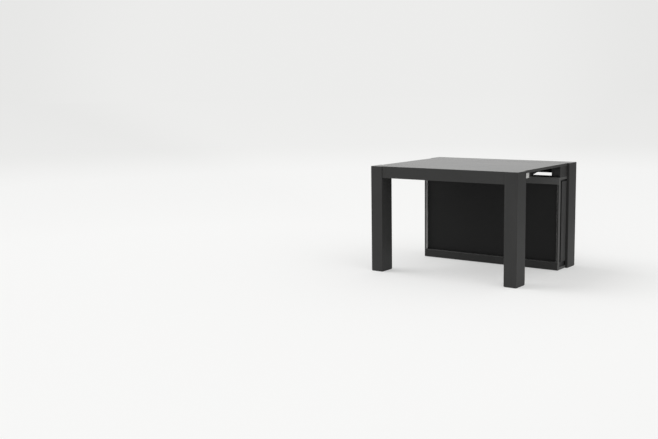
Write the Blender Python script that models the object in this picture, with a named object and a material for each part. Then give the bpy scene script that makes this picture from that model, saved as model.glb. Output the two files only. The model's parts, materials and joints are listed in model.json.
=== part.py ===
"""Extendable console table, opened by one leaf.

X runs along the aprons, Y from the front unit to the back unit, and Z up.
The origin is on the floor, at the centre of the opened table.
A front unit and a back unit, each with two legs, an apron and half of the top,
are joined by two telescopic rails of eleven sections each. One leaf lies on the
rails, and the other leaves stand on edge in a rack that hangs in front of the
back legs.
"""
import math

import bmesh
import bpy
from mathutils import Vector

# Overall sizes
WIDTH = 1.134
HEIGHT = 0.755
HALF_TOP_DEPTH = 0.190
BOARD_THICKNESS = 0.018
TOP_SIDE_INSET = 0.015
BOARD_ARRIS = 0.0008

# Clearances
SEAT_GAP = 0.0003
CUT_OVERRUN = 0.002

# Legs and feet
LEG_WIDTH = 0.092
LEG_DEPTH = 0.128
LEG_WALL = 0.003
LEG_CORNER_RADIUS = 0.003
LEG_TOP_ARRIS = 0.001
FOOT_FLANGE_THICKNESS = 0.004
FOOT_FLANGE_INSET = 0.002
FOOT_PLUG_HEIGHT = 0.025
FOOT_PLUG_WALL = 0.004
CORNER_STEPS = 3

# Aprons
APRON_HEIGHT = 0.082
APRON_RECESS = 0.005
APRON_WALL = 0.003
APRON_FLANGE = 0.025
APRON_TAB_CLEARANCE = 0.030

# Telescopic rails
RAIL_SECTIONS = 11
RAIL_PITCH = 0.0165
RAIL_HEIGHT = 0.051
RAIL_RUNNING_GAP = 0.0004
RAIL_WALL = 0.0025
RAIL_END_PLAY = 0.004
NECK_LENGTH = 0.003
NECK_HEIGHT = 0.008
HEAD_LENGTH = 0.0025
HEAD_HEIGHT = 0.014
GUIDE_THICKNESS = 0.0075
GUIDE_LENGTH = 0.080
GUIDE_LEG_CLEARANCE = 0.0007

# Ledges under the inner edges of the half tops
LEDGE_THICKNESS = 0.002
LEDGE_CENTRE_OFFSET = 0.020
LEDGE_RAIL_CLEARANCE = 0.0394
LEDGE_FIXED_DEPTH = 0.030
LEDGE_PROUD_DEPTH = 0.015

# Rack for the leaves
RACK_SLOTS = 5
RACK_SLOT_PITCH = 0.0204
RACK_LEG_CLEARANCE = 0.004
RACK_FLOOR_CLEARANCE = 0.003
RACK_PLATE_THICKNESS = 0.018
RACK_END_THICKNESS = 0.0045
RACK_BACK_THICKNESS = 0.003
FRAME_THICKNESS = 0.030
FRAME_LOW_RAIL_HEIGHT = 0.056
FRAME_TOP_RAIL_HEIGHT = 0.048
FRAME_STILE_WIDTH = 0.013
FRAME_LEFT_INSET = 0.016
PANEL_THICKNESS = 0.003
PANEL_BACK_INSET = 0.002
RACK_ARRIS = 0.0008
COMB_BASE_HEIGHT = 0.0345
COMB_TOP_BASE_HEIGHT = 0.010
COMB_FIN_HEIGHT = 0.009
COMB_FIN_THICKNESS = 0.0014
COMB_END_INSET = 0.008
LEAF_HEADROOM = 0.0029

# Hangers between the rack and the top
HANGER_WIDTH = 0.065
HANGER_HEIGHT = 0.0744
HANGER_DEPTH = 0.112
HANGER_WALL = 0.003
HANGER_SIDE_INSET = 0.002

# Screws
SCREW_RADIUS = 0.003
SCREW_HEAD_RADIUS = 0.005
SCREW_HEAD_HEIGHT = 0.003
SCREW_LENGTH = 0.012
SCREW_SIDES = 12
APRON_SCREW_SPACING = 0.028
TAB_SCREWS = 3
HANGER_SCREW_SPACING = 0.060

# Heights worked out from the sizes above: the leaf is as deep as stands in the rack
BOARD_BOTTOM = HEIGHT - BOARD_THICKNESS
SEAT_TOP = BOARD_BOTTOM - SEAT_GAP
HANGER_BOTTOM = SEAT_TOP - HANGER_HEIGHT
RACK_TOP = HANGER_BOTTOM - SEAT_GAP
RACK_BOTTOM = RACK_FLOOR_CLEARANCE
RACK_INNER_BOTTOM = RACK_BOTTOM + RACK_PLATE_THICKNESS + SEAT_GAP
RACK_INNER_TOP = RACK_TOP - RACK_PLATE_THICKNESS - SEAT_GAP
COMB_SEAT_Z = RACK_INNER_BOTTOM + COMB_BASE_HEIGHT
COMB_TOP_SEAT_Z = RACK_INNER_TOP - COMB_TOP_BASE_HEIGHT
STORED_LEAF_BOTTOM = COMB_SEAT_Z + SEAT_GAP
LEAF_DEPTH = COMB_TOP_SEAT_Z - LEAF_HEADROOM - COMB_SEAT_Z

# Places worked out from the sizes above
DEPTH = 2 * HALF_TOP_DEPTH + LEAF_DEPTH
HALF_WIDTH = WIDTH / 2
HALF_DEPTH = DEPTH / 2
TOP_HALF_WIDTH = HALF_WIDTH - TOP_SIDE_INSET
LEG_INNER_X = HALF_WIDTH - LEG_WIDTH
LEG_INNER_Y = HALF_DEPTH - LEG_DEPTH
APRON_BOTTOM = HEIGHT - APRON_HEIGHT
APRON_OUTER_Y = HALF_DEPTH - APRON_RECESS
APRON_INNER_Y = APRON_OUTER_Y - APRON_WALL
LEAF_EDGE_Y = LEAF_DEPTH / 2
RAIL_MIDDLE_Z = SEAT_TOP - RAIL_HEIGHT / 2
RAIL_OUTER_X = LEG_INNER_X - GUIDE_LEG_CLEARANCE - GUIDE_THICKNESS - RAIL_RUNNING_GAP
RAIL_BODY_WIDTH = RAIL_PITCH - RAIL_RUNNING_GAP
RAIL_STACK_INNER_X = RAIL_OUTER_X - RAIL_SECTIONS * RAIL_PITCH - NECK_LENGTH - HEAD_LENGTH
RAIL_LENGTH = 2 * (HALF_TOP_DEPTH - APRON_RECESS - APRON_WALL) - RAIL_END_PLAY
RAIL_FIRST_Y = SEAT_GAP - APRON_INNER_Y
RAIL_LAST_Y = APRON_INNER_Y - SEAT_GAP - RAIL_LENGTH
RAIL_STEP = (RAIL_LAST_Y - RAIL_FIRST_Y) / (RAIL_SECTIONS - 1)
TAB_HALF_WIDTH = RAIL_STACK_INNER_X - APRON_TAB_CLEARANCE
LEDGE_FAR_X = RAIL_STACK_INNER_X - LEDGE_RAIL_CLEARANCE
RACK_BACK_Y = LEG_INNER_Y - RACK_LEG_CLEARANCE
SLOTS_BACK_Y = RACK_BACK_Y - RACK_BACK_THICKNESS - SEAT_GAP
SLOTS_FRONT_Y = SLOTS_BACK_Y - RACK_SLOTS * RACK_SLOT_PITCH
FRAME_BACK_Y = SLOTS_FRONT_Y - SEAT_GAP
FRAME_FRONT_Y = FRAME_BACK_Y - FRAME_THICKNESS
RACK_RIGHT_X = TOP_HALF_WIDTH
RACK_LEFT_X = -TOP_HALF_WIDTH - SEAT_GAP - RACK_END_THICKNESS
RACK_INNER_LEFT_X = RACK_LEFT_X + RACK_END_THICKNESS + SEAT_GAP
FRAME_LEFT_X = RACK_LEFT_X + FRAME_LEFT_INSET
FRAME_OPENING_BOTTOM = RACK_BOTTOM + FRAME_LOW_RAIL_HEIGHT
FRAME_OPENING_TOP = RACK_TOP - FRAME_TOP_RAIL_HEIGHT
HANGER_OUTER_X = TOP_HALF_WIDTH - HANGER_SIDE_INSET
HANGER_MIDDLE_X = HANGER_OUTER_X - HANGER_WIDTH / 2
HANGER_MIDDLE_Y = RACK_BACK_Y - HANGER_DEPTH / 2

# Looks of the finishes: colour, roughness, metallic
PAINTED_BOARD = ((0.032, 0.032, 0.031), 0.28, 0.0)
PAINTED_METAL = ((0.031, 0.031, 0.030), 0.50, 0.0)
RAIL_METAL = ((0.020, 0.020, 0.021), 0.38, 0.3)
RACK_PAINT = ((0.034, 0.034, 0.033), 0.50, 0.0)
RACK_PANEL = ((0.010, 0.010, 0.010), 0.70, 0.0)
WHITE_NYLON = ((0.72, 0.72, 0.70), 0.50, 0.0)
BLACK_PLASTIC = ((0.012, 0.012, 0.012), 0.55, 0.0)
DARK_STEEL = ((0.080, 0.080, 0.082), 0.35, 0.9)

SIDES = (("left", -1), ("right", 1))


def clear_scene():
    """Removes every object that the file opened with."""
    for old in list(bpy.data.objects):
        bpy.data.objects.remove(old, do_unlink=True)


def spot(axis, first, second, along):
    """A point whose coordinate on axis is along, and whose others are first and second."""
    return {"X": (along, first, second), "Y": (first, along, second), "Z": (first, second, along)}[axis]


def solid(name, bm, at, body=None, look=None):
    """Links a mesh built in world coordinates as an object standing at a point, on a body."""
    bmesh.ops.recalc_face_normals(bm, faces=bm.faces)
    bmesh.ops.translate(bm, verts=bm.verts, vec=-Vector(at))
    mesh = bpy.data.meshes.new(name)
    bm.to_mesh(mesh)
    bm.free()
    obj = bpy.data.objects.new(name, mesh)
    bpy.context.scene.collection.objects.link(obj)
    place(obj, at, body)
    if look:
        give_finish(obj, look)
    return obj


def place(obj, at, body):
    """Puts an object at a point of the table, carried by the body's empty."""
    obj.location = at
    if body:
        obj.parent = body
        obj.location = Vector(at) - body.location


def give_finish(obj, look):
    """Gives an object a material of its own."""
    colour, roughness, metallic = look
    material = bpy.data.materials.new(obj.name + "_finish")
    material.use_nodes = True
    shader = material.node_tree.nodes["Principled BSDF"]
    shader.inputs["Base Color"].default_value = (*colour, 1.0)
    shader.inputs["Roughness"].default_value = roughness
    shader.inputs["Metallic"].default_value = metallic
    obj.data.materials.append(material)


def body_empty(name, at):
    """The empty that carries one moving body, on its joint's axis."""
    empty = bpy.data.objects.new(name, None)
    empty.location = at
    bpy.context.scene.collection.objects.link(empty)
    return empty


def prism(name, outline, axis, low, high, at, body=None, look=None, holes=()):
    """An outline, with any holes, pulled along an axis from low to high."""
    bm = bmesh.new()
    rims = []
    for ring in (outline, *holes):
        verts = [bm.verts.new(spot(axis, first, second, low)) for first, second in ring]
        rims += [bm.edges.new((verts[i - 1], verts[i])) for i in range(len(verts))]
    if holes:
        bmesh.ops.triangle_fill(bm, edges=rims, use_beauty=True)
    else:
        bm.faces.new(verts)
    pulled = bmesh.ops.extrude_face_region(bm, geom=list(bm.faces))["geom"]
    moved = [item for item in pulled if isinstance(item, bmesh.types.BMVert)]
    bmesh.ops.translate(bm, verts=moved, vec=Vector(spot(axis, 0, 0, high - low)))
    return solid(name, bm, at, body, look)


def loft(name, rings, at, body=None, look=None):
    """Rings of equally many points, joined one to the next and capped at both ends."""
    bm = bmesh.new()
    add_loft(bm, rings)
    return solid(name, bm, at, body, look)


def add_loft(bm, rings):
    """Adds one lofted closed shape to a mesh being built."""
    loops = [[bm.verts.new(co) for co in ring] for ring in rings]
    for low, high in zip(loops, loops[1:]):
        for i in range(len(low)):
            bm.faces.new((low[i - 1], low[i], high[i], high[i - 1]))
    bm.faces.new(loops[0])
    bm.faces.new(loops[-1])


def rectangle(low_a, high_a, low_b, high_b):
    """The four corners of a rectangle."""
    return [(low_a, low_b), (high_a, low_b), (high_a, high_b), (low_a, high_b)]


def box(name, low, high, body=None, look=None):
    """A block between two corners, standing at its own middle."""
    middle = (Vector(low) + Vector(high)) / 2
    outline = rectangle(low[0], high[0], low[1], high[1])
    return prism(name, outline, "Z", low[2], high[2], middle, body, look)


def rounded_rectangle(middle, width, depth, radius, z):
    """A level ring: a rectangle with round corners, at height z."""
    ring = []
    for quarter, (across, along) in enumerate(((1, 1), (-1, 1), (-1, -1), (1, -1))):
        centre_x = middle[0] + across * (width / 2 - radius)
        centre_y = middle[1] + along * (depth / 2 - radius)
        for step in range(CORNER_STEPS + 1):
            turn = math.pi / 2 * (quarter + step / CORNER_STEPS)
            ring.append((centre_x + radius * math.cos(turn), centre_y + radius * math.sin(turn), z))
    return ring


def bevel(obj, width):
    """Breaks the sharp edges of a piece."""
    edge = obj.modifiers.new("arris", "BEVEL")
    edge.width = width
    edge.segments = 1
    edge.limit_method = "ANGLE"
    edge.use_clamp_overlap = True


def combine(target, other, operation):
    """Joins a second shape to a piece, or cuts it out, and keeps that shape as a guide."""
    other.hide_render = True
    other.display_type = "WIRE"
    step = target.modifiers.new(other.name, "BOOLEAN")
    step.operation = operation
    step.solver = "EXACT"
    step.object = other


def screw_rings(place_on_face, axis, direction, profile):
    """Rings about a screw's axis: direction points from the head into the material."""
    rings = []
    for radius, depth in profile:
        ring = []
        for i in range(SCREW_SIDES):
            turn = 2 * math.pi * i / SCREW_SIDES
            offset = Vector(spot(axis, radius * math.cos(turn), radius * math.sin(turn), direction * depth))
            ring.append(Vector(place_on_face) + offset)
        rings.append(ring)
    return rings


def screw(name, screw_place, body, look):
    """A screw with its head just off the face that it holds."""
    profile = [
        (SCREW_HEAD_RADIUS, -SEAT_GAP - SCREW_HEAD_HEIGHT),
        (SCREW_HEAD_RADIUS, -SEAT_GAP),
        (SCREW_RADIUS, -SEAT_GAP),
        (SCREW_RADIUS, SCREW_LENGTH),
    ]
    return loft(name, screw_rings(*screw_place, profile), screw_place[0], body, look)


def drill(target, places):
    """Cuts the clearance holes of the given screws out of a piece."""
    radius = SCREW_RADIUS + SEAT_GAP
    profile = [(radius, -CUT_OVERRUN), (radius, SCREW_LENGTH + SEAT_GAP)]
    bm = bmesh.new()
    for place_on_face, axis, direction in places:
        add_loft(bm, screw_rings(place_on_face, axis, direction, profile))
    cutter = solid(target.name + "_holes", bm, places[0][0])
    combine(target, cutter, "DIFFERENCE")


def leg(name, across, along, body):
    """A closed-topped rectangular tube with round corners, open at the foot."""
    middle = (across * (HALF_WIDTH - LEG_WIDTH / 2), along * (HALF_DEPTH - LEG_DEPTH / 2))
    bottom = FOOT_FLANGE_THICKNESS + SEAT_GAP
    inner = (LEG_WIDTH - 2 * LEG_WALL, LEG_DEPTH - 2 * LEG_WALL, LEG_CORNER_RADIUS / 2)
    outer = (LEG_WIDTH, LEG_DEPTH, LEG_CORNER_RADIUS)
    crown = (LEG_WIDTH - 2 * LEG_TOP_ARRIS, LEG_DEPTH - 2 * LEG_TOP_ARRIS, LEG_CORNER_RADIUS - LEG_TOP_ARRIS)
    rings = [
        rounded_rectangle(middle, *inner, HEIGHT - LEG_WALL),
        rounded_rectangle(middle, *inner, bottom),
        rounded_rectangle(middle, *outer, bottom),
        rounded_rectangle(middle, *outer, HEIGHT - LEG_TOP_ARRIS),
        rounded_rectangle(middle, *crown, HEIGHT),
    ]
    return loft(name, rings, (*middle, bottom), body, PAINTED_METAL)


def foot(name, across, along, body):
    """A moulded cup pushed into the leg, with a flange that stands on the floor."""
    middle = (across * (HALF_WIDTH - LEG_WIDTH / 2), along * (HALF_DEPTH - LEG_DEPTH / 2))
    flange = (LEG_WIDTH - 2 * FOOT_FLANGE_INSET, LEG_DEPTH - 2 * FOOT_FLANGE_INSET, LEG_CORNER_RADIUS)
    play = 2 * (LEG_WALL + SEAT_GAP)
    plug = (LEG_WIDTH - play, LEG_DEPTH - play, LEG_CORNER_RADIUS / 2)
    hollow = (plug[0] - 2 * FOOT_PLUG_WALL, plug[1] - 2 * FOOT_PLUG_WALL, LEG_CORNER_RADIUS / 2)
    rings = [
        rounded_rectangle(middle, *flange, 0),
        rounded_rectangle(middle, *flange, FOOT_FLANGE_THICKNESS),
        rounded_rectangle(middle, *plug, FOOT_FLANGE_THICKNESS),
        rounded_rectangle(middle, *plug, FOOT_FLANGE_THICKNESS + FOOT_PLUG_HEIGHT),
        rounded_rectangle(middle, *hollow, FOOT_FLANGE_THICKNESS + FOOT_PLUG_HEIGHT),
        rounded_rectangle(middle, *hollow, FOOT_FLANGE_THICKNESS),
    ]
    return loft(name, rings, (*middle, 0), body, BLACK_PLASTIC)


def half_top(name, along, body):
    """Half of the fixed top: it fills the space between the legs and passes round them."""
    edge_y = HALF_DEPTH - HALF_TOP_DEPTH + SEAT_GAP / 2
    notch_x = LEG_INNER_X - SEAT_GAP
    notch_y = LEG_INNER_Y - SEAT_GAP
    outer_y = APRON_INNER_Y - SEAT_GAP
    half_outline = [
        (notch_x, outer_y),
        (notch_x, notch_y),
        (TOP_HALF_WIDTH, notch_y),
        (TOP_HALF_WIDTH, edge_y),
    ]
    mirrored = [(-x, y) for x, y in reversed(half_outline)]
    outline = [(x, along * y) for x, y in half_outline + mirrored]
    at = (0, along * (HALF_DEPTH - HALF_TOP_DEPTH / 2), BOARD_BOTTOM)
    board = prism(name, outline, "Z", BOARD_BOTTOM, HEIGHT, at, body, PAINTED_BOARD)
    bevel(board, BOARD_ARRIS)
    return board


def apron_screw_places(along):
    """Screws through the apron's end flanges into the legs."""
    places = []
    flange_y = along * (APRON_INNER_Y - APRON_FLANGE / 2)
    face_x = LEG_INNER_X - SEAT_GAP - APRON_WALL
    for across in (-1, 1):
        for step in (-1, 1):
            z = RAIL_MIDDLE_Z + step * APRON_SCREW_SPACING / 2
            places.append(((across * face_x, flange_y, z), "X", across))
    return places


def tab_screw_places(along):
    """Screws up through the apron's top tab into the half top."""
    y = along * (APRON_INNER_Y - APRON_FLANGE / 2)
    spacing = 2 * TAB_HALF_WIDTH / TAB_SCREWS
    middle = (TAB_SCREWS - 1) / 2
    return [(((i - middle) * spacing, y, SEAT_TOP - APRON_WALL), "Z", 1) for i in range(TAB_SCREWS)]


def ledge_screw_places(along):
    """Screws up through a ledge into the half top."""
    y = along * (LEAF_EDGE_Y + LEDGE_FIXED_DEPTH / 2)
    start, end = ledge_span(along)
    quarter = (end - start) / 4
    return [((x, y, SEAT_TOP - LEDGE_THICKNESS), "Z", 1) for x in (start + quarter, end - quarter)]


def apron(name, along, body):
    """A folded fascia: its web stands to the top's surface, with flanges inside."""
    end_x = LEG_INNER_X - SEAT_GAP
    flange_y = APRON_INNER_Y - APRON_FLANGE
    profile = [
        (APRON_OUTER_Y, APRON_BOTTOM),
        (flange_y, APRON_BOTTOM),
        (flange_y, APRON_BOTTOM + APRON_WALL),
        (APRON_INNER_Y, APRON_BOTTOM + APRON_WALL),
        (APRON_INNER_Y, HEIGHT),
        (APRON_OUTER_Y, HEIGHT),
    ]
    outline = [(along * y, z) for y, z in profile]
    at = (0, along * APRON_OUTER_Y, APRON_BOTTOM)
    fascia = prism(name, outline, "X", -end_x, end_x, at, body, PAINTED_METAL)
    web_y = along * (APRON_INNER_Y + APRON_WALL / 2)
    near_y = along * flange_y
    low_y, high_y = min(web_y, near_y), max(web_y, near_y)
    low = (-TAB_HALF_WIDTH, low_y, SEAT_TOP - APRON_WALL)
    combine(fascia, box(name + "_tab", low, (TAB_HALF_WIDTH, high_y, SEAT_TOP)), "UNION")
    for side, across in SIDES:
        face_x, inside_x = across * end_x, across * (end_x - APRON_WALL)
        low = (min(face_x, inside_x), low_y, APRON_BOTTOM + APRON_WALL / 2)
        high = (max(face_x, inside_x), high_y, SEAT_TOP)
        combine(fascia, box(name + "_end_" + side, low, high), "UNION")
    return fascia


def ledge_span(along):
    """The ends of a ledge: the front one lies left of the middle, the back one right."""
    near = along * LEDGE_CENTRE_OFFSET
    far = along * LEDGE_FAR_X
    return min(near, far), max(near, far)


def ledge(name, along, body):
    """A metal strip under the half top that the leaf's edge lies on."""
    start, end = ledge_span(along)
    inner = along * (LEAF_EDGE_Y - LEDGE_PROUD_DEPTH)
    outer = along * (LEAF_EDGE_Y + LEDGE_FIXED_DEPTH)
    low = (start, min(inner, outer), SEAT_TOP - LEDGE_THICKNESS)
    return box(name, low, (end, max(inner, outer), SEAT_TOP), body, DARK_STEEL)


def end_unit(word, along, body):
    """The pieces that the front unit and the back unit both have."""
    legs = {}
    for side, across in SIDES:
        legs[across] = leg("leg_" + word + "_" + side, across, along, body)
        foot("foot_" + word + "_" + side, across, along, body)
    board = half_top("half_top_" + word, along, body)
    fascia = apron("apron_" + word, along, body)
    strip = ledge("ledge_" + word, along, body)
    side_places = apron_screw_places(along)
    tab_places = tab_screw_places(along)
    ledge_places = ledge_screw_places(along)
    drill(fascia, side_places + tab_places)
    drill(strip, ledge_places)
    drill(board, tab_places + ledge_places)
    for across, post in legs.items():
        drill(post, [place for place in side_places if place[2] == across])


def rail_outline():
    """A rail section's outline across its length: groove on the outer side, tongue inside."""
    half = RAIL_HEIGHT / 2
    neck, head = NECK_HEIGHT / 2, HEAD_HEIGHT / 2
    mouth, chamber = neck + RAIL_RUNNING_GAP, head + RAIL_RUNNING_GAP
    lip = NECK_LENGTH - 2 * RAIL_RUNNING_GAP
    groove_depth = NECK_LENGTH + HEAD_LENGTH
    side = RAIL_BODY_WIDTH
    upper = [
        (side + NECK_LENGTH + HEAD_LENGTH, head),
        (side + NECK_LENGTH, head),
        (side + NECK_LENGTH, neck),
        (side, neck),
        (side, half),
        (0, half),
        (0, mouth),
        (lip, mouth),
        (lip, chamber),
        (groove_depth, chamber),
    ]
    return upper + [(u, -v) for u, v in reversed(upper)]


def rail_hollows():
    """The three hollows that run through a rail section."""
    half = RAIL_HEIGHT / 2
    chamber = HEAD_HEIGHT / 2 + RAIL_RUNNING_GAP
    low, high = RAIL_WALL, RAIL_BODY_WIDTH - RAIL_WALL
    behind_groove = NECK_LENGTH + HEAD_LENGTH + RAIL_WALL
    return [
        rectangle(low, high, chamber + RAIL_WALL, half - RAIL_WALL),
        rectangle(low, high, RAIL_WALL - half, -chamber - RAIL_WALL),
        rectangle(behind_groove, high, -chamber, chamber),
    ]


def set_across(points, across, outer_x):
    """Turns a profile's distance inward from the outer side into a place on the table."""
    return [(across * (outer_x - u), RAIL_MIDDLE_Z + v) for u, v in points]


def rail_section(side, across, index, body):
    """One sliding section: each lies a pitch further in and a step further back."""
    outer_x = RAIL_OUTER_X - index * RAIL_PITCH
    start = RAIL_FIRST_Y + index * RAIL_STEP
    outline = set_across(rail_outline(), across, outer_x)
    hollows = [set_across(hollow, across, outer_x) for hollow in rail_hollows()]
    at = (across * outer_x, start, RAIL_MIDDLE_Z)
    name = "rail_" + side + "_" + str(index)
    return prism(name, outline, "Y", start, start + RAIL_LENGTH, at, body, RAIL_METAL, hollows)


def guide_block(side, across, body):
    """A nylon block at the mouth of the first section, held in its outer groove."""
    half = RAIL_HEIGHT / 2
    neck, head = NECK_HEIGHT / 2, HEAD_HEIGHT / 2
    face = -RAIL_RUNNING_GAP
    upper = [
        (face + NECK_LENGTH + HEAD_LENGTH, head),
        (face + NECK_LENGTH, head),
        (face + NECK_LENGTH, neck),
        (face, neck),
        (face, half),
        (face - GUIDE_THICKNESS, half),
    ]
    outline = set_across(upper + [(u, -v) for u, v in reversed(upper)], across, RAIL_OUTER_X)
    mouth = RAIL_FIRST_Y + RAIL_LENGTH
    at = (across * RAIL_OUTER_X, mouth - GUIDE_LENGTH, RAIL_MIDDLE_Z)
    return prism("guide_block_" + side, outline, "Y", mouth - GUIDE_LENGTH, mouth, at, body, WHITE_NYLON)


def rack_plates(body):
    """The rack's level plates, closed left end and back panel."""
    right, left = RACK_RIGHT_X, RACK_LEFT_X
    bottom = box(
        "rack_bottom_plate",
        (left, SLOTS_FRONT_Y, RACK_BOTTOM),
        (right, RACK_BACK_Y, RACK_BOTTOM + RACK_PLATE_THICKNESS),
        body,
        RACK_PAINT,
    )
    top = box(
        "rack_top_plate",
        (left, SLOTS_FRONT_Y, RACK_TOP - RACK_PLATE_THICKNESS),
        (right, RACK_BACK_Y, RACK_TOP),
        body,
        RACK_PAINT,
    )
    for plate in (bottom, top):
        bevel(plate, RACK_ARRIS)
    box(
        "rack_end_left",
        (left, SLOTS_FRONT_Y, RACK_INNER_BOTTOM),
        (left + RACK_END_THICKNESS, RACK_BACK_Y, RACK_INNER_TOP),
        body,
        RACK_PAINT,
    )
    box(
        "rack_back_panel",
        (RACK_INNER_LEFT_X, SLOTS_BACK_Y + SEAT_GAP, RACK_INNER_BOTTOM),
        (right, RACK_BACK_Y, RACK_INNER_TOP),
        body,
        RACK_PANEL,
    )
    return top


def rack_front(body):
    """The framed front: two rails, two stiles and a panel set far back between them."""
    right, left = RACK_RIGHT_X, FRAME_LEFT_X
    spans = (("bottom", RACK_BOTTOM, FRAME_OPENING_BOTTOM), ("top", FRAME_OPENING_TOP, RACK_TOP))
    for word, low_z, high_z in spans:
        low, high = (left, FRAME_FRONT_Y, low_z), (right, FRAME_BACK_Y, high_z)
        rail = box("rack_front_rail_" + word, low, high, body, RACK_PAINT)
        bevel(rail, RACK_ARRIS)
    low_z = FRAME_OPENING_BOTTOM + SEAT_GAP
    high_z = FRAME_OPENING_TOP - SEAT_GAP
    for word, low_x in (("left", left), ("right", right - FRAME_STILE_WIDTH)):
        high = (low_x + FRAME_STILE_WIDTH, FRAME_BACK_Y, high_z)
        stile = box("rack_front_stile_" + word, (low_x, FRAME_FRONT_Y, low_z), high, body, RACK_PAINT)
        bevel(stile, RACK_ARRIS)
    panel_y = FRAME_BACK_Y - PANEL_BACK_INSET
    low = (left + FRAME_STILE_WIDTH + SEAT_GAP, panel_y - PANEL_THICKNESS, low_z)
    high = (right - FRAME_STILE_WIDTH - SEAT_GAP, panel_y, high_z)
    box("rack_front_panel", low, high, body, RACK_PANEL)


def comb_outline(base_z, seat_z, fin_z):
    """A comb's outline across the rack: a base with a fin between each two leaves."""
    outline = [(SLOTS_BACK_Y, seat_z), (SLOTS_BACK_Y, base_z), (SLOTS_FRONT_Y, base_z), (SLOTS_FRONT_Y, seat_z)]
    for slot in range(1, RACK_SLOTS):
        middle = SLOTS_FRONT_Y + slot * RACK_SLOT_PITCH
        low, high = middle - COMB_FIN_THICKNESS / 2, middle + COMB_FIN_THICKNESS / 2
        outline += [(low, seat_z), (low, fin_z), (high, fin_z), (high, seat_z)]
    return outline


def rack_combs(body):
    """The slotted strips that the leaves stand in and are kept apart by."""
    start, end = RACK_INNER_LEFT_X, RACK_RIGHT_X - COMB_END_INSET
    at = (start, SLOTS_FRONT_Y, RACK_INNER_BOTTOM)
    lower = comb_outline(RACK_INNER_BOTTOM, COMB_SEAT_Z, COMB_SEAT_Z + COMB_FIN_HEIGHT)
    prism("rack_comb_bottom", lower, "X", start, end, at, body, BLACK_PLASTIC)
    upper = comb_outline(RACK_INNER_TOP, COMB_TOP_SEAT_Z, COMB_TOP_SEAT_Z - COMB_FIN_HEIGHT)
    at = (start, SLOTS_FRONT_Y, COMB_TOP_SEAT_Z)
    prism("rack_comb_top", upper, "X", start, end, at, body, BLACK_PLASTIC)


def hanger_screw_places(across):
    """Screws down through a hanger's floor into the rack's top plate."""
    z = HANGER_BOTTOM + HANGER_WALL
    x = across * HANGER_MIDDLE_X
    return [((x, HANGER_MIDDLE_Y + step * HANGER_SCREW_SPACING / 2, z), "Z", -1) for step in (-1, 1)]


def hanger(side, across, body):
    """A short rectangular tube, open to the front and back, that the rack hangs from."""
    low_x, high_x = HANGER_MIDDLE_X - HANGER_WIDTH / 2, HANGER_MIDDLE_X + HANGER_WIDTH / 2
    outer = rectangle(low_x, high_x, HANGER_BOTTOM, SEAT_TOP)
    wall = HANGER_WALL
    inner = rectangle(low_x + wall, high_x - wall, HANGER_BOTTOM + wall, SEAT_TOP - wall)
    outline = [(across * x, z) for x, z in outer]
    hollow = [(across * x, z) for x, z in inner]
    start = RACK_BACK_Y - HANGER_DEPTH
    at = (across * HANGER_MIDDLE_X, HANGER_MIDDLE_Y, HANGER_BOTTOM)
    name = "rack_hanger_" + side
    tube = prism(name, outline, "Y", start, RACK_BACK_Y, at, body, RACK_PAINT, [hollow])
    drill(tube, hanger_screw_places(across))


def rack(body):
    """The rack, its hangers and their screws."""
    top_plate = rack_plates(body)
    rack_front(body)
    rack_combs(body)
    places = []
    for side, across in SIDES:
        hanger(side, across, body)
        for number, screw_place in enumerate(hanger_screw_places(across), 1):
            screw("hanger_screw_" + side + "_" + str(number), screw_place, body, DARK_STEEL)
            places.append(screw_place)
    drill(top_plate, places)


def leaf_placed(body):
    """The leaf that lies on the rails between the two half tops."""
    edge_y = LEAF_EDGE_Y - SEAT_GAP / 2
    low = (-TOP_HALF_WIDTH, -edge_y, BOARD_BOTTOM)
    board = box("leaf_placed", low, (TOP_HALF_WIDTH, edge_y, HEIGHT), body, PAINTED_BOARD)
    bevel(board, BOARD_ARRIS)


def leaf_stored(number, body):
    """A leaf standing on edge in its slot of the rack."""
    middle_y = SLOTS_FRONT_Y + (number + 1 / 2) * RACK_SLOT_PITCH
    low = (-TOP_HALF_WIDTH, middle_y - BOARD_THICKNESS / 2, STORED_LEAF_BOTTOM)
    high_z = STORED_LEAF_BOTTOM + LEAF_DEPTH - SEAT_GAP
    high = (TOP_HALF_WIDTH, middle_y + BOARD_THICKNESS / 2, high_z)
    board = box("leaf_stored_" + str(number), low, high, body, PAINTED_BOARD)
    bevel(board, BOARD_ARRIS)


def build_table():
    """Makes every piece on its own body. The holes of the hidden fixings stay open."""
    clear_scene()
    front = body_empty("front_unit", (0, -HALF_DEPTH, 0))
    back = body_empty("back_unit", (0, HALF_DEPTH, RAIL_MIDDLE_Z))
    end_unit("front", -1, front)
    end_unit("back", 1, back)
    last = RAIL_SECTIONS - 1
    for index in range(RAIL_SECTIONS):
        if index == 0:
            body = front
        elif index == last:
            body = back
        else:
            body = body_empty("stage_" + str(index), (0, RAIL_FIRST_Y + index * RAIL_STEP, RAIL_MIDDLE_Z))
        for side, across in SIDES:
            rail_section(side, across, index, body)
    for side, across in SIDES:
        guide_block(side, across, front)
    rack(back)
    leaf_placed(body_empty("leaf_lift", (0, 0, BOARD_BOTTOM)))
    for number in range(1, RACK_SLOTS):
        slot_y = SLOTS_FRONT_Y + (number + 1 / 2) * RACK_SLOT_PITCH
        leaf_stored(number, body_empty("leaf_slide_" + str(number), (0, slot_y, STORED_LEAF_BOTTOM)))


build_table()
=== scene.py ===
"""Looks of the extendable console table: its finishes, rounded edges, screws and end plugs.

X runs along the aprons, Y from the front unit to the back unit, and Z up, in metres.
The floor is at Z 0 and the origin at the centre of the opened table.
"""

import json
import math

import bmesh
import bpy
from mathutils import Matrix, Vector

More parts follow.
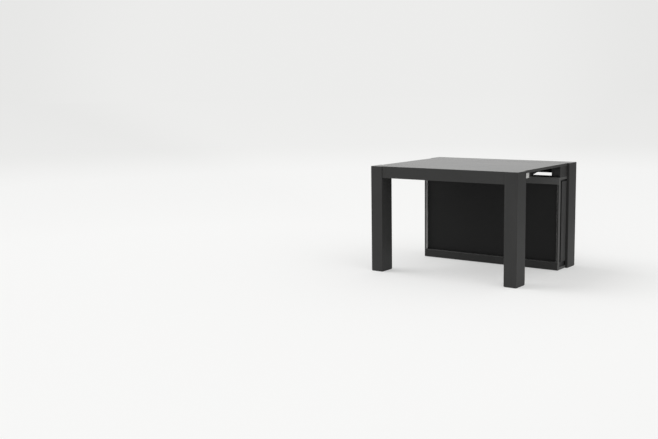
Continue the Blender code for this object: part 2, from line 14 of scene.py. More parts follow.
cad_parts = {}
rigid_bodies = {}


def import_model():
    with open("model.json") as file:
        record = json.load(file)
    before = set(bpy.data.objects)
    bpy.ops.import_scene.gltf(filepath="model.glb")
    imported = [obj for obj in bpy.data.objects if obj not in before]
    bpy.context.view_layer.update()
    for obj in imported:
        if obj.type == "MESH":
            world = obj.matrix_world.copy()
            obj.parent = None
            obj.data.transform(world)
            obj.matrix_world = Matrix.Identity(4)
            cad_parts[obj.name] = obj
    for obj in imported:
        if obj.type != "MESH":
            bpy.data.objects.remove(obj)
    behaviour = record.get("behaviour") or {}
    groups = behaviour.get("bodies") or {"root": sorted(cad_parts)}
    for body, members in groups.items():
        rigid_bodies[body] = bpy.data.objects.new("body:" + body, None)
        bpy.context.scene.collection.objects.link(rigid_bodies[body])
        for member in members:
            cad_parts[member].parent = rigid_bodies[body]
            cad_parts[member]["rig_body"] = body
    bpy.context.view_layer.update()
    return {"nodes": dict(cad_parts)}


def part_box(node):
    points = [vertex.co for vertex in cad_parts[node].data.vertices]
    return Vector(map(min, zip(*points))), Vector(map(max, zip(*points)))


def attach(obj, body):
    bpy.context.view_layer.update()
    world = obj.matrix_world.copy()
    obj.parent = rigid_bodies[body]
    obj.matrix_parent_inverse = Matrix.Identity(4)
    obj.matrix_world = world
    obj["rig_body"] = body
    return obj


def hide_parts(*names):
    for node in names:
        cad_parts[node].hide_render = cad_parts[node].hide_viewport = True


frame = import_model()
nodes = frame["nodes"]

# The photograph's frame and the camera that took it
IMAGE_WIDTH = 658
FOCAL_PIXELS = 930.4
SENSOR_WIDTH = 36.0
CAMERA_PLACE = (3.182, -5.911, 1.300)
CAMERA_YAW = math.radians(37.24)
CAMERA_PITCH = math.radians(-7.98)
CAMERA_ROLL = math.radians(-0.896)

# Backdrop: how bright it shows, how strongly it lights the object, and its colour
BACKDROP_LEVEL = 0.842
SKY_LEVEL = 0.70
BACKDROP_COLOUR = (1.0, 1.0, 0.990, 1.0)

# It is brightest in one direction, and falls to a share of that between two cosines
BACKDROP_MIDDLE = (-0.605, 0.796, 0.0)
VIEW_MIDDLE_COSINE = 0.985
VIEW_EDGE_COSINE = 0.945
VIEW_EDGE_SHARE = 0.953

# Floor: a disc just under the object, and its matt colour
FLOOR_RADIUS = 120.0
FLOOR_SIDES = 96
FLOOR_GAP = 0.0004
FLOOR_COLOUR = (0.908, 0.908, 0.908)
FLOOR_ROUGHNESS = 0.9

# The floor's glow: its level around a bright place, the share of it that is seen near the object,
# and the distances between which it takes over and the floor turns into the backdrop
FLOOR_LEVEL = 0.918
FLOOR_WASH = 0.42
FLOOR_FADE_START = 2.5
FLOOR_FADE_END = 16.0
BRIGHT_FLOOR_CENTRE = (-1.2, -1.5, 0.0)
BRIGHT_FLOOR_RADIUS = 2.8
BRIGHT_FLOOR_FADE = 3.5

# The floor to the right gives less light: between two slanting borders it falls to a share
DARK_SIDE_SLOPE = 0.319
DARK_SIDE_NEAR = 1.4
DARK_SIDE_FAR = 2.6
DARK_SIDE_SHARE = 0.3

# Lamps: where each shines from, its strength, and how wide it looks
LAMPS = (
    ("left_light", (-1.0, -0.3, 1.2), 1.15, math.radians(40.0)),
    ("right_light", (1.0, -0.3, 0.8), 0.35, math.radians(50.0)),
)

# Which end of X is left or right, and which end of Y is front or back
SIDES = {"left": -1, "right": 1}
ENDS = {"front": -1, "back": 1}

# Screws: their gap to the face that they hold, and their sizes
SEAT_GAP = 0.0003
SCREW_SIZES = {
    "Head radius": 0.005,
    "Head height": 0.003,
    "Shank radius": 0.0029,
    "Shank length": 0.0118,
    "Socket radius": 0.0026,
    "Socket depth": 0.0019,
}
SCREW_SIDES = 24
SCREW_THREADS = 6
SOCKET_SIDES = 6

# The head from its top down: the top's share of the head's radius, then each part's share of the
# head's height and the radius that it reaches
HEAD_TOP_RADIUS = 0.72
HEAD_PARTS = ((0.22, 0.91), (0.23, 1.0), (0.55, 1.0))

# The radius between two threads and at the tip, as shares of the shank's
THREAD_ROOT = 0.82
TIP_RADIUS = 0.6

# The apron's end flanges, its top tab and the ledges, where the hidden screws go
APRON_WALL = 0.003
APRON_FLANGE = 0.025
APRON_SCREW_SPACING = 0.028
TAB_SCREW_SPACING = 0.1663
LEDGE_FIXED_DEPTH = 0.030

# The ways that screws and plugs point
UPWARD = (0, 0, 1)
DOWNWARD = (0, 0, -1)
FORWARD = (0, -1, 0)

# Rail sections: each hollow's width and height, and how far its middle is from the section's
# outer side and, where that isn't zero, from its middle height
RAIL_SECTIONS = 11
WIDE_HOLLOW = (0.0111, 0.0131)
WIDE_HOLLOW_MIDDLE = (0.00805, 0.01645)
NARROW_HOLLOW = (0.0056, 0.0148)
NARROW_HOLLOW_MIDDLE = 0.0108
PLUG_CLEARANCE = 0.0002
PLUG_SET_BACK = 0.0006
PLUG_SIZES = {
    "Wide width": WIDE_HOLLOW[0] - 2 * PLUG_CLEARANCE,
    "Wide height": WIDE_HOLLOW[1] - 2 * PLUG_CLEARANCE,
    "Narrow width": NARROW_HOLLOW[0] - 2 * PLUG_CLEARANCE,
    "Narrow height": NARROW_HOLLOW[1] - 2 * PLUG_CLEARANCE,
    "Depth": 0.010,
    "Lip": 0.0006,
    "Dish": 0.0012,
    "Corner radius": 0.0008,
}

# Which kind of shape a point takes: plugs have two kinds, and screws have one
WIDE = 0
NARROW = 1
ONLY_KIND = 0

# A plug's outer face: what scales it over the lip, to the mouth of the dish and to its floor
LIP_SCALE = 0.90
MOUTH_SCALE = 0.84
DISH_SCALE = 0.94
CORNER_POINTS = 3

# The hangers' open front ends have a larger plug of the same form
HANGER_WALL = 0.003
HANGER_PLUG_FORM = {
    "Lip": 0.0012,
    "Dish": 0.0025,
    "Corner radius": 0.0015,
}

# Copying a CAD node: points this near and faces this flat are joined, and sharper edges rounded
MERGE_DISTANCE = 0.000004
FLAT_ANGLE = math.radians(0.4)
SHARP_ANGLE = math.radians(50.0)
ROUNDING_STEPS = 3

# A face looks along an axis when at least this much of its normal does
LEVEL_NORMAL = 0.6

# Noise in the finishes: its middle value, and the form of each kind
NOISE_MIDDLE = 0.5
CLOUD_DETAIL = 3.0
STREAK_DETAIL = 4.0
STREAK_ROUGHNESS = 0.6
RAG_SCALE = 180.0
RAG_DETAIL = 4.0
RAG_ROUGHNESS = 0.7
PEEL_DETAIL = 2.0
GRIT_FINENESS = 4.0
GRIT_DETAIL = 1.0


def feed(tree, socket, value):
    """Links another socket to a node's input, or sets the input's own value."""
    if isinstance(value, bpy.types.NodeSocket):
        tree.links.new(value, socket)
    else:
        socket.default_value = value


def add(tree, kind, settings=None, inputs=None):
    """Adds a node with its settings, and feeds its inputs."""
    made = tree.nodes.new(kind)
    for name, value in (settings or {}).items():
        setattr(made, name, value)
    for key, value in (inputs or {}).items():
        feed(tree, made.inputs[key], value)
    return made


def maths(tree, operation, first, second=0.0, clamp=False):
    """One step of arithmetic between sockets or numbers."""
    settings = {"operation": operation, "use_clamp": clamp}
    return add(tree, "ShaderNodeMath", settings, {0: first, 1: second}).outputs[0]


def off_middle(tree, value):
    """How far a noise value is from its middle."""
    return maths(tree, "SUBTRACT", value, NOISE_MIDDLE)


def spread(tree, value, low, high, new_low=0.0, new_high=1.0):
    """Stretches a value's range from low and high to new ends, with a soft start and stop."""
    settings = {"interpolation_type": "SMOOTHSTEP"}
    inputs = {
        "Value": value,
        "From Min": low,
        "From Max": high,
        "To Min": new_low,
        "To Max": new_high,
    }
    return add(tree, "ShaderNodeMapRange", settings, inputs).outputs["Result"]


def mix_colour(tree, factor, first, second):
    """Blends two colours."""
    blend = add(tree, "ShaderNodeMixRGB", None, {"Fac": factor, "Color1": first, "Color2": second})
    return blend.outputs["Color"]


def noise(tree, vector, scale, detail, roughness=0.5):
    """A noise value around its middle."""
    inputs = {"Vector": vector, "Scale": scale, "Detail": detail, "Roughness": roughness}
    return add(tree, "ShaderNodeTexNoise", None, inputs).outputs["Fac"]


def new_group(name, kind, inputs, outputs):
    """An empty node tree with named sockets: (kind, name, value) for each input."""
    group = bpy.data.node_groups.new(name, kind)
    for word, label, value in inputs:
        made = group.interface.new_socket(label, in_out="INPUT", socket_type="NodeSocket" + word)
        if value is not None:
            made.default_value = value
    for word, label in outputs:
        group.interface.new_socket(label, in_out="OUTPUT", socket_type="NodeSocket" + word)
    return group, group.nodes.new("NodeGroupInput").outputs, group.nodes.new("NodeGroupOutput").inputs


def use(tree, group, inputs):
    """Places a shader group in a tree, with its own values."""
    return add(tree, "ShaderNodeGroup", {"node_tree": group}, inputs).outputs


def make_drift_group():
    """A colour that drifts slightly darker and lighter, in clouds and along one direction."""
    group, given, result = new_group(
        "colour_drift",
        "ShaderNodeTree",
        [
            ("Vector", "Vector", None),
            ("Color", "Colour", (0.5, 0.5, 0.5, 1.0)),
            ("Vector", "Stretch", (1.0, 1.0, 1.0)),
            ("Float", "Cloud scale", 6.0),
            ("Float", "Streak scale", 90.0),
            ("Float", "Amount", 0.1),
        ],
        [("Color", "Colour"), ("Float", "Streaks")],
    )
    clouds = noise(group, given["Vector"], given["Cloud scale"], CLOUD_DETAIL)
    stretched = add(group, "ShaderNodeVectorMath", {"operation": "MULTIPLY"},
                    {0: given["Vector"], 1: given["Stretch"]}).outputs[0]
    streaks = noise(group, stretched, given["Streak scale"], STREAK_DETAIL, STREAK_ROUGHNESS)
    both = maths(group, "ADD", off_middle(group, clouds), off_middle(group, streaks))
    level = maths(group, "ADD", maths(group, "MULTIPLY", both, given["Amount"]), 1.0)
    scaled = add(group, "ShaderNodeVectorMath", {"operation": "SCALE"},
                 {0: given["Colour"], "Scale": level}).outputs[0]
    feed(group, result["Colour"], scaled)
    feed(group, result["Streaks"], streaks)
    return group


def make_edge_group():
    """A mask along the edges of a block: one at the edge, none a width away, with a ragged border."""
    group, given, result = new_group(
        "edge_wear",
        "ShaderNodeTree",
        [
            ("Vector", "Vector", None),
            ("Vector", "Centre", (0.0, 0.0, 0.0)),
            ("Vector", "Half size", (1.0, 1.0, 1.0)),
            ("Float", "Width", 0.002),
            ("Float", "Raggedness", 0.5),
        ],
        [("Float", "Mask")],
    )
    offset = add(group, "ShaderNodeVectorMath", {"operation": "SUBTRACT"},
                 {0: given["Vector"], 1: given["Centre"]})
    away = add(group, "ShaderNodeVectorMath", {"operation": "ABSOLUTE"}, {0: offset.outputs[0]})
    inside = add(group, "ShaderNodeVectorMath", {"operation": "SUBTRACT"},
                 {0: given["Half size"], 1: away.outputs[0]})
    x, y, z = add(group, "ShaderNodeSeparateXYZ", None, {0: inside.outputs[0]}).outputs
    nearer = maths(group, "MINIMUM", x, y)
    farther = maths(group, "MINIMUM", maths(group, "MAXIMUM", x, y), z)
    distance = maths(group, "MAXIMUM", nearer, farther)
    rag = noise(group, given["Vector"], RAG_SCALE, RAG_DETAIL, RAG_ROUGHNESS)
    pull = maths(group, "MULTIPLY", off_middle(group, rag), given["Raggedness"])
    share = maths(group, "ADD", maths(group, "DIVIDE", distance, given["Width"]), pull)
    feed(group, result["Mask"], spread(group, share, 1.0, 0.0))
    return group


def make_peel_group():
    """The height of a sprayed finish: fine orange peel with a finer grit on it."""
    group, given, result = new_group(
        "sprayed_peel",
        "ShaderNodeTree",
        [("Vector", "Vector", None), ("Float", "Scale", 700.0), ("Float", "Grit", 0.4)],
        [("Float", "Height")],
    )
    peel = noise(group, given["Vector"], given["Scale"], PEEL_DETAIL)
    grit_scale = maths(group, "MULTIPLY", given["Scale"], GRIT_FINENESS)
    grit = noise(group, given["Vector"], grit_scale, GRIT_DETAIL)
    height = maths(group, "ADD", peel, maths(group, "MULTIPLY", grit, given["Grit"]))
    feed(group, result["Height"], height)
    return group


DRIFT = make_drift_group()
EDGE_WEAR = make_edge_group()
PEEL = make_peel_group()


def start_material(name):
    """A material with its tree, its Principled shader and the object's coordinates."""
    material = bpy.data.materials.new(name)
    material.use_nodes = True
    tree = material.node_tree
    shader = tree.nodes["Principled BSDF"]
    place = add(tree, "ShaderNodeTexCoord").outputs["Object"]
    return material, tree, shader, place


def make_material(name, low, high, values):
    """A finish for one piece, whose box gives the edges that are rubbed lighter."""
    material, tree, shader, place = start_material(name)
    drift = use(tree, DRIFT, {
        "Vector": place,
        "Colour": values["colour"],
        "Stretch": values["stretch"],
        "Cloud scale": values["clouds"],
        "Streak scale": values["streaks"],
        "Amount": values["amount"],
    })
    wear = use(tree, EDGE_WEAR, {
        "Vector": place,
        "Centre": (low + high) / 2,
        "Half size": (high - low) / 2,
        "Width": values["edge_width"],
        "Raggedness": values["ragged"],
    })["Mask"]
    worn = maths(tree, "MULTIPLY", wear, values["edge_amount"])
    colour = mix_colour(tree, worn, drift["Colour"], values["edge_colour"])
    feed(tree, shader.inputs["Base Color"], colour)
    rough = maths(tree, "MULTIPLY", off_middle(tree, drift["Streaks"]), values["rough_amount"])
    feed(tree, shader.inputs["Roughness"], maths(tree, "ADD", rough, values["roughness"], clamp=True))
    shader.inputs["Metallic"].default_value = values["metallic"]
    shader.inputs["Specular IOR Level"].default_value = values["specular"]
    peel = use(tree, PEEL, {"Vector": place, "Scale": values["peel_scale"], "Grit": values["grit"]})
    relief = {"Strength": values["bump"], "Distance": values["peel_depth"], "Height": peel["Height"]}
    bump = add(tree, "ShaderNodeBump", None, relief)
    feed(tree, shader.inputs["Normal"], bump.outputs["Normal"])
    return material


# What a finish has unless it says otherwise: the drift of its colour, its edges, its gloss, its peel
PLAIN_LOOK = {
    "stretch": (1.0, 1.0, 1.0),
    "clouds": 5.0,
    "streaks": 60.0,
    "amount": 0.2,
    "edge_width": 0.0022,
    "edge_amount": 0.5,
    "ragged": 0.5,
    "roughness": 0.50,
    "rough_amount": 0.1,
    "metallic": 0.0,
    "specular": 0.15,
    "peel_scale": 650.0,
    "grit": 0.4,
    "bump": 0.35,
    "peel_depth": 0.00012,
}


def look(colour, edge_colour, **others):
    """The values of one finish: its colour, its edges' colour, and what isn't as in the plain look."""
    colours = {"colour": (*colour, 1.0), "edge_colour": (*edge_colour, 1.0)}
    return {**PLAIN_LOOK, **colours, **others}


# Finishes of the pieces: colours are linear
ALONG_X = (0.05, 1.0, 1.0)
ALONG_Y = (1.0, 0.05, 1.0)
ALONG_Z = (1.0, 1.0, 0.05)
LOOKS = {
    "leg": look((0.040, 0.040, 0.0395), (0.060, 0.060, 0.059), stretch=ALONG_Z),
    "apron": look((0.040, 0.040, 0.0395), (0.060, 0.060, 0.059), stretch=ALONG_X),
    "board": look((0.030, 0.030, 0.0295), (0.070, 0.070, 0.068), stretch=ALONG_X,
                  roughness=0.24, specular=0.5, edge_width=0.0015, peel_depth=0.00004),
    "board_edge": look((0.054, 0.054, 0.0535), (0.085, 0.085, 0.083), stretch=ALONG_X,
                       roughness=0.55, edge_width=0.0015, peel_depth=0.00004),
    "rack_frame": look((0.035, 0.035, 0.0345), (0.070, 0.070, 0.069), stretch=ALONG_X),
    # Painted light: the rack's top front rail has the frame's paint, made lighter because more light
    # falls on it than on the rest of the frame
    "rack_top_rail": look((0.092, 0.092, 0.091), (0.130, 0.130, 0.128), stretch=ALONG_X),
    "rack_stile": look((0.034, 0.034, 0.0335), (0.110, 0.110, 0.108), stretch=ALONG_Z,
                       edge_amount=0.8),
    "rack_edge": look((0.090, 0.090, 0.089), (0.160, 0.160, 0.158), stretch=ALONG_Z,
                      edge_amount=0.8),
    # Painted highlight: the stiles' inner walls, down in the recess, are made near white so that they
    # show as a bright line along each stile
    "frame_lip": look((0.620, 0.620, 0.614), (0.700, 0.700, 0.694), stretch=ALONG_Z,
                      roughness=0.4, specular=0.4),
    "rack_panel": look((0.013, 0.013, 0.013), (0.018, 0.018, 0.018), stretch=ALONG_X,
                       roughness=0.7, specular=0.2),
    "rail": look((0.020, 0.020, 0.021), (0.060, 0.060, 0.060), stretch=ALONG_Y, streaks=400.0,
                 roughness=0.38, rough_amount=0.2, metallic=0.3, specular=0.4),
    "white_nylon": look((0.88, 0.88, 0.86), (0.92, 0.92, 0.90),
                        roughness=0.5, specular=0.45, amount=0.06, peel_scale=1500.0),
    "black_plastic": look((0.008, 0.008, 0.0085), (0.020, 0.020, 0.021),
                          roughness=0.55, specular=0.4, peel_scale=2200.0, grit=0.8),
    "dark_steel": look((0.080, 0.080, 0.082), (0.16, 0.16, 0.16), stretch=ALONG_X, streaks=500.0,
                       roughness=0.36, rough_amount=0.25, metallic=0.9, specular=0.5),
}

# Which finish a node takes, by the start of its name: the first that fits
FINISH_OF = (
    ("leg_", "leg"),
    ("foot_", "black_plastic"),
    ("apron_", "apron"),
    ("half_top_", "board"),
    ("leaf_", "board"),
    ("ledge_", "dark_steel"),
    ("rail_", "rail"),
    ("guide_block_", "white_nylon"),
    ("rack_hanger_", "apron"),
    ("hanger_screw_", "dark_steel"),
    ("rack_comb_", "black_plastic"),
    ("rack_front_stile_", "rack_stile"),
    # The top front rail takes the lighter painted-light finish
    ("rack_front_rail_top", "rack_top_rail"),
    ("rack_front_panel", "rack_panel"),
    ("rack_back_panel", "rack_panel"),
    ("rack_end_left", "rack_stile"),
    ("rack_", "rack_frame"),
)


def finish_of(name):
    """The finish that a node's name asks for."""
    for start, word in FINISH_OF:
        if name.startswith(start):
            return word
    raise ValueError("no finish for " + name)


def make_finish(name, word=None):
    """A node's own finish, or another one in its box."""
    low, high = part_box(name)
    word = word or finish_of(name)
    return make_material(name + "_" + word, low, high, LOOKS[word])


def dress_nodes():
    """Gives every CAD node its finish."""
    for name, obj in nodes.items():
        obj.data.materials.clear()
        obj.data.materials.append(make_finish(name))


def new_piece(name, mesh):
    """An object at the origin that shows a mesh."""
    piece = bpy.data.objects.new(name, mesh)
    bpy.context.scene.collection.objects.link(piece)
    return piece


def settle(piece):
    """Keeps what the modifiers make of a piece as its own plain mesh."""
    bpy.context.view_layer.update()
    view = bpy.context.evaluated_depsgraph_get()
    made = bpy.data.meshes.new_from_object(piece.evaluated_get(view))
    piece.modifiers.clear()
    piece.data = made


def rounded_copy(name, start, radius):
    """A copy of a CAD node with its sharp edges rounded and its flat faces kept flat."""
    bm = bmesh.new()
    bm.from_mesh(nodes[name].data)
    bmesh.ops.remove_doubles(bm, verts=bm.verts, dist=MERGE_DISTANCE)
    bmesh.ops.dissolve_limit(bm, angle_limit=FLAT_ANGLE, verts=bm.verts, edges=bm.edges)
    for face in bm.faces:
        face.smooth = True
        face.material_index = 0
    mesh = bpy.data.meshes.new(start + name)
    bm.to_mesh(mesh)
    bm.free()
    piece = new_piece(start + name, mesh)
    if radius:
        bevel = piece.modifiers.new("rounding", "BEVEL")
        bevel.limit_method = "ANGLE"
        bevel.angle_limit = SHARP_ANGLE
        bevel.width = radius
        bevel.segments = ROUNDING_STEPS
    else:
        mesh.set_sharp_from_angle(angle=SHARP_ANGLE)
    flat = piece.modifiers.new("flat_faces", "WEIGHTED_NORMAL")
    flat.keep_sharp = True
    settle(piece)
    piece.data.materials.append(make_finish(name))
    return piece


def stand_for(piece, name):
    """Shows a piece instead of a CAD node, on the node's body."""
    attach(piece, nodes[name]["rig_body"])
    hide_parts(name)


# Pieces made from CAD nodes: how their nodes' and their own names start, how far their edges
# are rounded, and their other finishes, each with the directions of the faces that take it
PIECES = (
    ("leg_", "painted_", 0.0, (("board", "+Z"),)),
    ("apron_", "folded_", 0.0010, (("board", "+Z"),)),
    ("rack_hanger_", "welded_", 0.0008, ()),
    ("rack_front_rail_", "rounded_", 0.0008, (("rack_edge", "+X -X +Z -Z"),)),
    # The stiles' inner walls take the near-white painted highlight
    ("rack_front_stile_left", "rounded_", 0.0008, (("rack_edge", "-X"), ("frame_lip", "+X"))),
    ("rack_front_stile_right", "rounded_", 0.0008, (("rack_edge", "+X"), ("frame_lip", "-X"))),
    ("rack_end_left", "rounded_", 0.0006, ()),
    ("rack_top_plate", "banded_", 0.0, (("rack_edge", "+X -X"),)),
    ("rack_bottom_plate", "banded_", 0.0, (("rack_edge", "+X -X"),)),
    ("guide_block_", "moulded_", 0.0006, ()),
    ("half_top_", "banded_", 0.0, (("board_edge", "+X -X +Y -Y"),)),
    ("leaf_placed", "banded_", 0.0, (("board_edge", "+X -X +Y -Y"),)),
    ("leaf_stored_", "banded_", 0.0, (("board_edge", "+X -X +Z -Z"),)),
)


def faces_one_of(normal, directions):
    """Whether a normal points along one of the directions, such as +X or -Z."""
    for sign, axis in directions.split():
        along = normal["XYZ".index(axis)]
        if (along if sign == "+" else -along) > LEVEL_NORMAL:
            return True
    return False


def add_finish(piece, number, material, directions):
    """Gives a piece one more finish, on the faces that look along one of the directions."""
    piece.data.materials.append(material)
    for face in piece.data.polygons:
        if faces_one_of(face.normal, directions):
            face.material_index = number


def make_pieces():
    """Makes the painted, lacquered and moulded pieces that stand for CAD nodes."""
    for start, word, radius, others in PIECES:
        for name in nodes:
            if name.startswith(start):
                piece = rounded_copy(name, word, radius)
                for number, (second, directions) in enumerate(others, 1):
                    add_finish(piece, number, make_finish(name, second), directions)
                stand_for(piece, name)


def drawn_out(tree, mesh, top, rise, scale):
    """Draws a face out along Z, then scales it about its own middle."""
    offset = add(tree, "ShaderNodeCombineXYZ", None, {"Z": rise}).outputs[0]
    inputs = {"Mesh": mesh, "Selection": top, "Offset": offset, "Individual": False}
    drawn = add(tree, "GeometryNodeExtrudeMesh", {"mode": "FACES"}, inputs)
    sized = add(tree, "GeometryNodeScaleElements", None, {
        "Geometry": drawn.outputs["Mesh"],
        "Selection": drawn.outputs["Top"],
        "Scale": scale,
    })
    return sized.outputs["Geometry"], drawn.outputs["Top"]


def closed_stack(tree, face, steps):
    """A closed solid from a flat face: each step draws it out along Z and scales it."""
    mesh, top = face, True
    for rise, scale in steps:
        mesh, top = drawn_out(tree, mesh, top, rise, scale)
    under = add(tree, "GeometryNodeFlipFaces", None, {"Mesh": face}).outputs["Mesh"]
    joined = add(tree, "GeometryNodeJoinGeometry", None, {"Geometry": mesh})
    feed(tree, joined.inputs["Geometry"], under)
    merged = add(tree, "GeometryNodeMergeByDistance", None,
                 {"Geometry": joined.outputs["Geometry"], "Distance": MERGE_DISTANCE})
    return merged.outputs["Geometry"]


def moved(tree, geometry, height):
    """Moves a shape along Z."""
    offset = add(tree, "ShaderNodeCombineXYZ", None, {"Z": height}).outputs[0]
    inputs = {"Geometry": geometry, "Translation": offset}
    return add(tree, "GeometryNodeTransform", None, inputs).outputs[0]


def named_attribute(tree, kind, name):
    """The value that each point has under a name."""
    asked = add(tree, "GeometryNodeInputNamedAttribute", {"data_type": kind}, {"Name": name})
    return asked.outputs["Attribute"]


def placed(tree, points, shape, material, kind=None):
    """Puts a shape on every point, its Z along the point's axis, and gives it its material."""
    turn = add(tree, "FunctionNodeAlignRotationToVector", {"axis": "Z"},
               {"Vector": named_attribute(tree, "FLOAT_VECTOR", "axis")})
    inputs = {"Points": points, "Instance": shape, "Rotation": turn.outputs["Rotation"]}
    if kind:
        inputs["Pick Instance"] = True
        inputs["Instance Index"] = kind
    spots = add(tree, "GeometryNodeInstanceOnPoints", None, inputs).outputs["Instances"]
    real = add(tree, "GeometryNodeRealizeInstances", None, {"Geometry": spots}).outputs["Geometry"]
    inputs = {"Geometry": real, "Material": material}
    return add(tree, "GeometryNodeSetMaterial", None, inputs).outputs["Geometry"]


def head_steps(tree, given):
    """The steps of a screw's head, from its top down."""
    steps = []
    radius = HEAD_TOP_RADIUS
    for height, reached in HEAD_PARTS:
        steps.append((maths(tree, "MULTIPLY", given["Head height"], height), reached / radius))
        radius = reached
    return steps


def shank_steps(tree, given):
    """The steps of a screw's shank: a plain neck, the threads and the tip."""
    to_shank = maths(tree, "DIVIDE", given["Shank radius"], given["Head radius"])
    # Each thread takes two rises, and the neck and the tip take one each
    rise = maths(tree, "DIVIDE", given["Shank length"], 2.0 * SCREW_THREADS + 2.0)
    neck = [(0.0, to_shank), (rise, 1.0)]
    threads = [(rise, THREAD_ROOT), (rise, 1.0 / THREAD_ROOT)] * SCREW_THREADS
    return neck + threads + [(rise, TIP_RADIUS)]


def make_screw_tree():
    """Pan-headed screws with a hexagon socket, one on each point, driven along the point's axis."""
    sizes = [("Float", label, value) for label, value in SCREW_SIZES.items()]
    tree, given, result = new_group(
        "socket_screws",
        "GeometryNodeTree",
        [("Geometry", "Points", None), *sizes, ("Material", "Finish", None)],
        [("Geometry", "Screws")],
    )
    top_radius = maths(tree, "MULTIPLY", given["Head radius"], HEAD_TOP_RADIUS)
    face = add(tree, "GeometryNodeMeshCircle", {"fill_type": "NGON"},
               {"Vertices": SCREW_SIDES, "Radius": top_radius})
    steps = head_steps(tree, given) + shank_steps(tree, given)
    head_down = maths(tree, "MULTIPLY", given["Head height"], -1.0)
    body = moved(tree, closed_stack(tree, face.outputs["Mesh"], steps), head_down)
    socket = add(tree, "GeometryNodeMeshCylinder", {"fill_type": "NGON"}, {
        "Vertices": SOCKET_SIDES,
        "Radius": given["Socket radius"],
        "Depth": maths(tree, "MULTIPLY", given["Socket depth"], 2.0),
    })
    cut = add(tree, "GeometryNodeMeshBoolean", {"operation": "DIFFERENCE", "solver": "EXACT"},
              {"Mesh 1": body, "Mesh 2": moved(tree, socket.outputs["Mesh"], head_down)})
    feed(tree, result["Screws"], placed(tree, given["Points"], cut.outputs["Mesh"], given["Finish"]))
    return tree


def plug_shape(tree, given, word):
    """One moulded plug: a rounded block whose outer face has a lip and a dish."""
    outline = add(tree, "GeometryNodeCurvePrimitiveQuadrilateral", {"mode": "RECTANGLE"},
                  {"Width": given[word + " width"], "Height": given[word + " height"]}).outputs["Curve"]
    softened = add(tree, "GeometryNodeFilletCurve", {"mode": "POLY"},
                   {"Curve": outline, "Count": CORNER_POINTS, "Radius": given["Corner radius"]})
    face = add(tree, "GeometryNodeFillCurve", {"mode": "NGONS"}, {"Curve": softened.outputs["Curve"]})
    steps = [
        (maths(tree, "SUBTRACT", given["Depth"], given["Lip"]), 1.0),
        (given["Lip"], LIP_SCALE),
        (0.0, MOUTH_SCALE),
        (maths(tree, "MULTIPLY", given["Dish"], -1.0), DISH_SCALE),
    ]
    block = closed_stack(tree, face.outputs["Mesh"], steps)
    plug = moved(tree, block, maths(tree, "MULTIPLY", given["Depth"], -1.0))
    return add(tree, "GeometryNodeGeometryToInstance", None, {"Geometry": plug}).outputs["Instances"]


def make_plug_tree():
    """End plugs for the rails' hollows: the point's kind picks the wide or the narrow one."""
    sizes = [("Float", label, value) for label, value in PLUG_SIZES.items()]
    tree, given, result = new_group(
        "rail_end_plugs",
        "GeometryNodeTree",
        [("Geometry", "Points", None), *sizes, ("Material", "Finish", None)],
        [("Geometry", "Plugs")],
    )
    # The shape joined last comes first in the list, so that the wide one has the lower number
    both = add(tree, "GeometryNodeJoinGeometry", None, {"Geometry": plug_shape(tree, given, "Narrow")})
    feed(tree, both.inputs["Geometry"], plug_shape(tree, given, "Wide"))
    kind = named_attribute(tree, "INT", "kind")
    plugs = placed(tree, given["Points"], both.outputs["Geometry"], given["Finish"], kind)
    feed(tree, result["Plugs"], plugs)
    return tree


def grow(name, tree, spots, sizes, material):
    """Runs a geometry tree on spots, each a place, an axis and a kind, and keeps a plain mesh."""
    mesh = bpy.data.meshes.new(name)
    mesh.from_pydata([place for place, axis, kind in spots], [], [])
    mesh.attributes.new("axis", "FLOAT_VECTOR", "POINT")
    mesh.attributes.new("kind", "INT", "POINT")
    for i, (place, axis, kind) in enumerate(spots):
        mesh.attributes["axis"].data[i].vector = axis
        mesh.attributes["kind"].data[i].value = kind
    piece = new_piece(name, mesh)
    grower = piece.modifiers.new("grower", "NODES")
    grower.node_group = tree
    values = {**sizes, "Finish": material}
    for item in tree.interface.items_tree:
        if item.in_out == "INPUT" and item.name in values:
            grower[item.identifier] = values[item.name]
    settle(piece)
    for face in piece.data.polygons:
        face.use_smooth = True
        face.material_index = 0
    piece.data.materials.clear()
    piece.data.materials.append(material)
    piece.data.set_sharp_from_angle(angle=SHARP_ANGLE)
    return piece


def unit_screw_spots(word, along):
    """The screws of one unit: apron to legs, apron tab to half top, and ledge to half top."""
    apron_low, apron_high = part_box("apron_" + word)
    web_outer = apron_high.y if along > 0 else apron_low.y
    flange_y = web_outer - along * (APRON_WALL + APRON_FLANGE / 2)
    rail_low, rail_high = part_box("rail_left_0")
    seat_top = rail_high.z
    middle_z = (rail_low.z + seat_top) / 2
    spots = []
    for across in SIDES.values():
        x = across * (apron_high.x - APRON_WALL - SEAT_GAP)
        for step in (-1, 1):
            z = middle_z + step * APRON_SCREW_SPACING / 2
            spots.append(((x, flange_y, z), (across, 0, 0), ONLY_KIND))
    for step in (-1, 0, 1):
        place = (step * TAB_SCREW_SPACING, flange_y, seat_top - APRON_WALL - SEAT_GAP)
        spots.append((place, UPWARD, ONLY_KIND))
    ledge_low, ledge_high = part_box("ledge_" + word)
    quarter = (ledge_high.x - ledge_low.x) / 4
    far_y = ledge_high.y if along > 0 else ledge_low.y
    for x in (ledge_low.x + quarter, ledge_high.x - quarter):
        place = (x, far_y - along * LEDGE_FIXED_DEPTH / 2, ledge_low.z - SEAT_GAP)
        spots.append((place, UPWARD, ONLY_KIND))
    return spots


